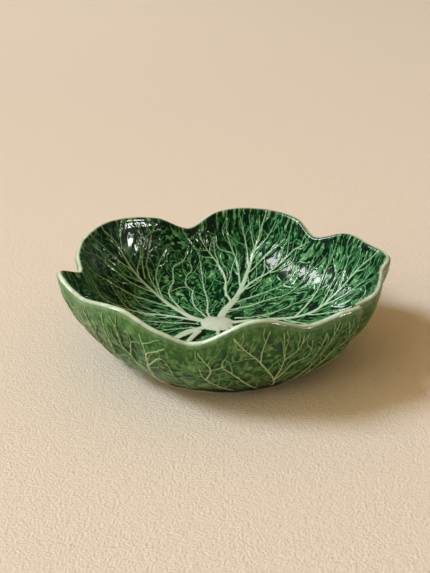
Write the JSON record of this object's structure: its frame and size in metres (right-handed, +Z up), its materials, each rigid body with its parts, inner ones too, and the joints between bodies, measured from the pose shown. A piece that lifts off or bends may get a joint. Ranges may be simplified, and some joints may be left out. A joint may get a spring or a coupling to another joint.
{
  "type": "serving bowl",
  "caption": "Open earthenware serving bowl pressed as overlapping cabbage leaves, with a wavy lip, veined walls, a raised stem disc and a low foot ring.",
  "frame": {"origin": "middle of the bounding box on the table, under the bowl", "axes": "+Z up, -Y to the side seen in front, +X to its right"},
  "size_m": [0.2424, 0.2332, 0.0751],
  "materials": {
    "green_glaze": "glossy translucent green glaze, pale where it thins over ridges and the lip",
    "bare_clay": "unglazed buff earthenware"
  },
  "bodies": {
    "root": {"leaf_bowl": "green_glaze", "foot_ring": "bare_clay"}
  },
  "joints": []
}
